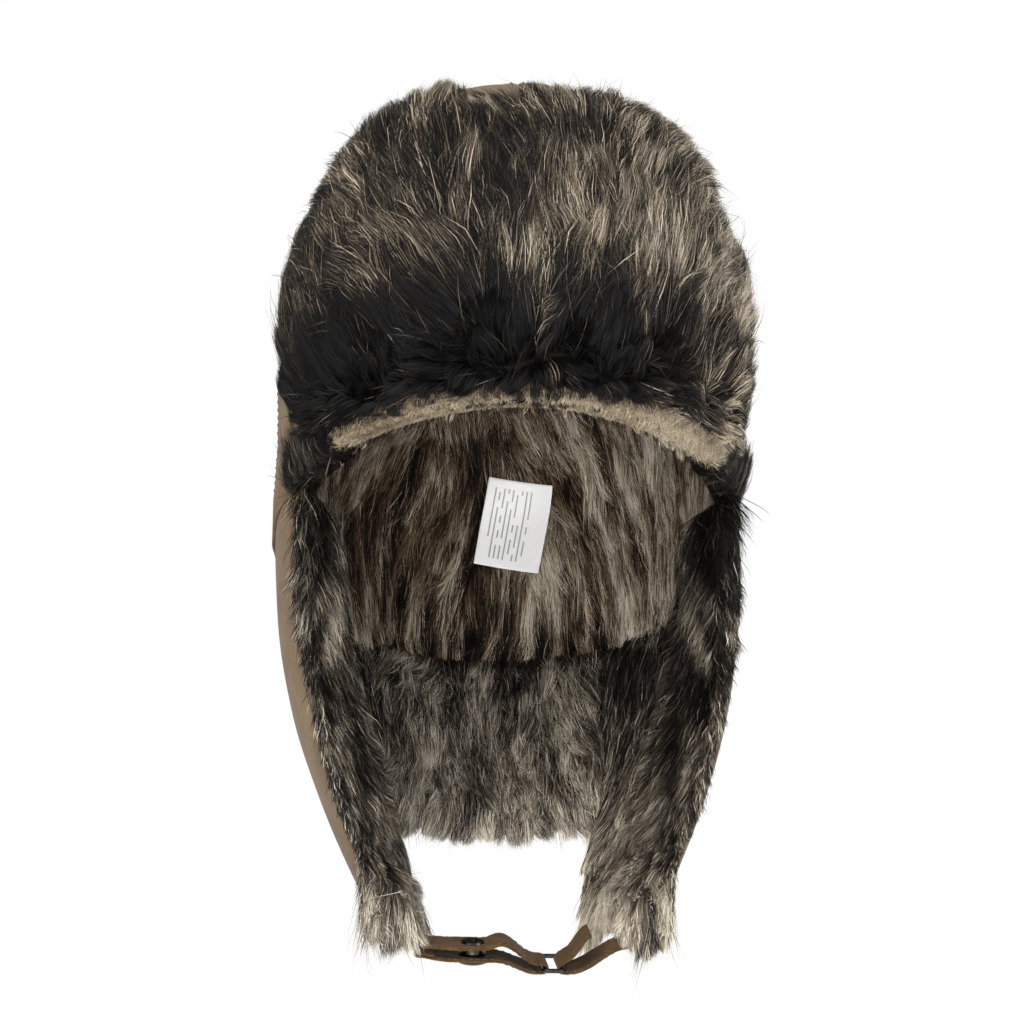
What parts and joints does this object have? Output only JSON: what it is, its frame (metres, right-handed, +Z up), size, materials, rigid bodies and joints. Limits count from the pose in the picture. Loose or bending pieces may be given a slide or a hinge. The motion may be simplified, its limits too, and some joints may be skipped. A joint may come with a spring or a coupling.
{
  "type": "trapper hat",
  "caption": "Fur-lined trapper hat with a raised fur front flap, hanging ear and neck flaps, and a snapped chin strap with a wire ring.",
  "frame": {"origin": "middle of the hat band, level with the brow edge", "axes": "+Z up along the wearer's head, the wearer looks along -Y, +X to the wearer's left"},
  "size_m": [0.2086, 0.2393, 0.4038],
  "materials": {
    "brushed_polyester": "matt",
    "lining_fur": "matt",
    "flap_fur": "matt",
    "strap_cloth": "matt",
    "gunmetal": "satin",
    "satin_ribbon": "satin"
  },
  "bodies": {
    "crown": {"crown_front_left": "brushed_polyester", "crown_front_right": "brushed_polyester", "crown_back_left": "brushed_polyester", "crown_back_right": "brushed_polyester", "lining_front_left": "lining_fur", "lining_front_right": "lining_fur", "lining_back_left": "lining_fur", "lining_back_right": "lining_fur", "care_label": "satin_ribbon"},
    "front_flap": {"front_flap_shell": "brushed_polyester", "front_flap_fur": "flap_fur"},
    "neck_flap": {"neck_flap_shell": "brushed_polyester", "neck_flap_fur": "flap_fur"},
    "left_ear_flap": {"left_ear_flap_shell": "brushed_polyester", "left_ear_flap_fur": "flap_fur"},
    "right_ear_flap": {"right_ear_flap_shell": "brushed_polyester", "right_ear_flap_fur": "flap_fur"},
    "chin_strap": {"chin_strap": "strap_cloth", "snap_stud": "gunmetal", "snap_post": "gunmetal"},
    "strap_tail": {"strap_tail": "strap_cloth", "snap_cap": "gunmetal", "snap_socket": "gunmetal"},
    "ring_loop": {"ring_loop": "strap_cloth"},
    "strap_ring": {"strap_ring": "gunmetal", "strap_turn": "strap_cloth"}
  },
  "joints": [
    {"name": "front_flap_fold", "type": "hinge", "parent": "crown", "child": "front_flap", "pos_m": [0, -0.105, -0.006], "axis": [1, 0, 0], "range_deg": [0, 150]},
    {"name": "neck_flap_fold", "type": "hinge", "parent": "crown", "child": "neck_flap", "pos_m": [0, 0.112, -0.066], "axis": [1, 0, 0], "range_deg": [0, 150]},
    {"name": "left_ear_flap_fold", "type": "hinge", "parent": "crown", "child": "left_ear_flap", "pos_m": [0.105, 0, -0.036], "axis": [0, -0.952, 0.306], "range_deg": [0, 150]},
    {"name": "right_ear_flap_fold", "type": "hinge", "parent": "crown", "child": "right_ear_flap", "pos_m": [-0.105, 0, -0.036], "axis": [0, 0.952, -0.306], "range_deg": [0, 150]},
    {"name": "chin_strap_swing", "type": "hinge", "parent": "right_ear_flap", "child": "chin_strap", "pos_m": [-0.05358, -0.0445, -0.22143], "axis": [0, 0.9336, 0.3584], "range_deg": [0, 60]},
    {"name": "snap_open", "type": "hinge", "parent": "chin_strap", "child": "strap_tail", "pos_m": [0.00848, -0.03996, -0.23327], "axis": [0, -0.9336, -0.3584], "range_deg": [0, 120]},
    {"name": "ring_loop_swing", "type": "hinge", "parent": "left_ear_flap", "child": "ring_loop", "pos_m": [0.05358, -0.0445, -0.22143], "axis": [0, -0.9336, -0.3584], "range_deg": [0, 45]},
    {"name": "strap_ring_swing", "type": "hinge", "parent": "ring_loop", "child": "strap_ring", "pos_m": [0.01958, -0.04085, -0.23093], "axis": [0, -0.9336, -0.3584], "range_deg": [-45, 45]}
  ]
}
